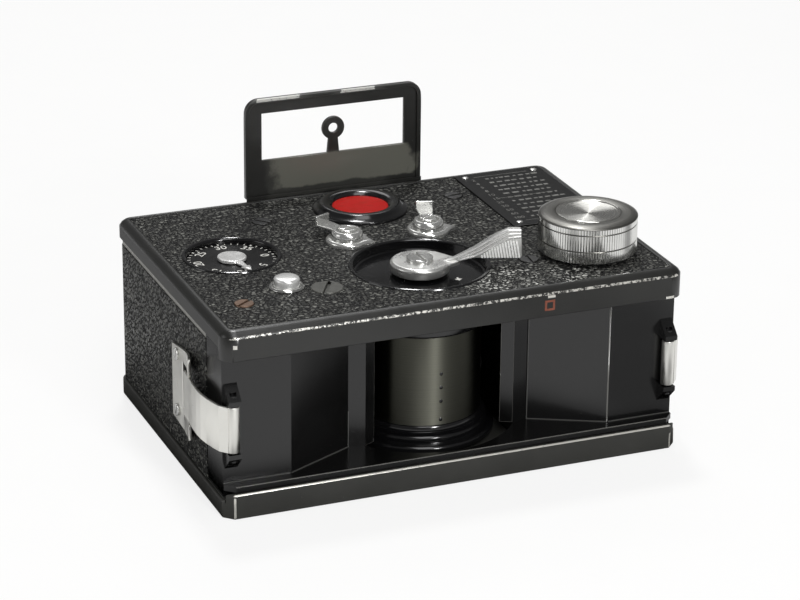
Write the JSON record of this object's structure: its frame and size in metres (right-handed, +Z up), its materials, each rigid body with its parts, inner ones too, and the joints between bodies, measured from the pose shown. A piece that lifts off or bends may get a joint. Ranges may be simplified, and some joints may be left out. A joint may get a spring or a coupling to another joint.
{
  "type": "panoramic camera",
  "caption": "Swing-lens panoramic film camera: low black box with a lens drum turning in a front recess, cocking lever, winding knob, spirit level, latched back and folding sight",
  "frame": {"origin": "mouth of the tripod socket, at the middle of the underside", "axes": "+Z up, the front faces -Y, +X to the right as seen from the front"},
  "size_m": [0.1684, 0.1186, 0.1008],
  "materials": {
    "body_paint": "satin",
    "cover_paint": "satin",
    "base_paint": "satin",
    "finder_paint": "satin",
    "gloss_black": "gloss",
    "chamber_black": "matte",
    "leather": "satin",
    "dial_black": "satin",
    "table_black": "satin",
    "chrome": "polished",
    "knob_chrome": "satin",
    "nickel": "satin",
    "steel": "satin",
    "brass": "satin",
    "lens_glass": "polished",
    "level_glass": "polished",
    "level_red": "gloss",
    "spool_plastic": "matte",
    "cassette_tin": "satin"
  },
  "bodies": {
    "chassis": {"base_plate": "base_paint", "tripod_bush": "steel", "base_screws": "steel", "front_chassis": "body_paint", "top_deck": "chamber_black", "film_gate": "chamber_black", "top_cover": "cover_paint", "top_leather": "leather", "top_screws": "steel", "plug_screw": "gloss_black", "lever_dish": "gloss_black", "counter_dish": "gloss_black", "counter_dial": "dial_black", "button_collar": "chrome", "release_spring": "steel", "level_bezel": "gloss_black", "level_vial": "level_red", "level_glass": "level_glass", "speed_plate_left": "chrome", "speed_plate_right": "chrome", "speed_table": "table_black", "table_rivets": "chrome", "drum_bush_low": "brass", "drum_bush_top": "brass", "spring_barrel": "brass", "wind_bush": "steel", "take_up_cassette": "cassette_tin", "feed_cassette": "cassette_tin", "finder_hinge": "finder_paint", "finder_pin": "steel", "latch_pins": "steel"},
    "shell": {"rear_shell": "base_paint", "body_leather": "leather", "pressure_plate": "chamber_black", "pressure_spring": "steel", "catch_left": "nickel", "catch_right": "nickel", "catch_screws": "steel"},
    "drum": {"drum_tube": "body_paint", "drum_base": "gloss_black", "drum_top": "gloss_black", "lens_barrel": "chamber_black", "front_lens": "lens_glass", "rear_lens": "lens_glass", "cocking_lever": "chrome", "lever_screw": "chrome"},
    "winder": {"wind_knob": "knob_chrome", "knob_cap": "knob_chrome", "wind_shaft": "steel", "take_up_spool": "spool_plastic"},
    "feed": {"feed_spool": "spool_plastic"},
    "sprocket": {"sprocket": "steel"},
    "pointer": {"counter_pointer": "chrome"},
    "button": {"release_button": "chrome"},
    "speed_left": {"speed_lever_left": "chrome"},
    "speed_right": {"speed_lever_right": "chrome"},
    "finder": {"finder_frame": "finder_paint"},
    "latch_l": {"latch_left": "nickel"},
    "latch_r": {"latch_right": "nickel"}
  },
  "joints": [
    {"name": "drum_swing", "type": "hinge", "parent": "chassis", "child": "drum", "pos_m": [0, -0.0218, 0.03], "axis": [0, 0, 1], "range_deg": [-176, 0]},
    {"name": "wind", "type": "hinge", "parent": "chassis", "child": "winder", "pos_m": [0.0574, -0.0302, 0.03], "axis": [0, 0, 1], "continuous": true},
    {"name": "feed_turn", "type": "hinge", "parent": "chassis", "child": "feed", "pos_m": [-0.0574, -0.0302, 0.03], "axis": [0, 0, 1], "continuous": true},
    {"name": "sprocket_turn", "type": "hinge", "parent": "chassis", "child": "sprocket", "pos_m": [-0.04891, -0.01138, 0.03], "axis": [0, 0, 1], "continuous": true},
    {"name": "counter_turn", "type": "hinge", "parent": "chassis", "child": "pointer", "pos_m": [-0.0556, 0.008, 0.064], "axis": [0, 0, 1], "continuous": true},
    {"name": "release_press", "type": "slide", "parent": "chassis", "child": "button", "axis": [0, 0, -1], "range_m": [0, 0.0025], "stiffness_N_per_m": 400, "springref_m": -0.0015, "deforming": ["release_spring"]},
    {"name": "speed_left_turn", "type": "hinge", "parent": "chassis", "child": "speed_left", "pos_m": [-0.0148, 0.0066, 0.066], "axis": [0, 0, 1], "range_deg": [0, 55]},
    {"name": "speed_right_turn", "type": "hinge", "parent": "chassis", "child": "speed_right", "pos_m": [0.0148, 0.0066, 0.066], "axis": [0, 0, 1], "range_deg": [-55, 0]},
    {"name": "finder_fold", "type": "hinge", "parent": "chassis", "child": "finder", "pos_m": [0, 0.0598, 0.0624], "axis": [1, 0, 0], "range_deg": [-180, 0]},
    {"name": "latch_left_swing", "type": "hinge", "parent": "chassis", "child": "latch_l", "pos_m": [-0.0771, -0.05435, 0.031], "axis": [0, 0, 1], "range_deg": [0, 115]},
    {"name": "latch_right_swing", "type": "hinge", "parent": "chassis", "child": "latch_r", "pos_m": [0.0771, -0.05435, 0.031], "axis": [0, 0, 1], "range_deg": [-115, 0]},
    {"name": "shell_slide", "type": "slide", "parent": "chassis", "child": "shell", "axis": [0, 1, 0], "range_m": [0, 0.095]}
  ],
  "couplings": [
    {"joint": "feed_turn", "follows": "wind", "ratio": 1},
    {"joint": "sprocket_turn", "follows": "wind", "ratio": 1.8},
    {"joint": "counter_turn", "follows": "wind", "ratio": -0.046}
  ]
}
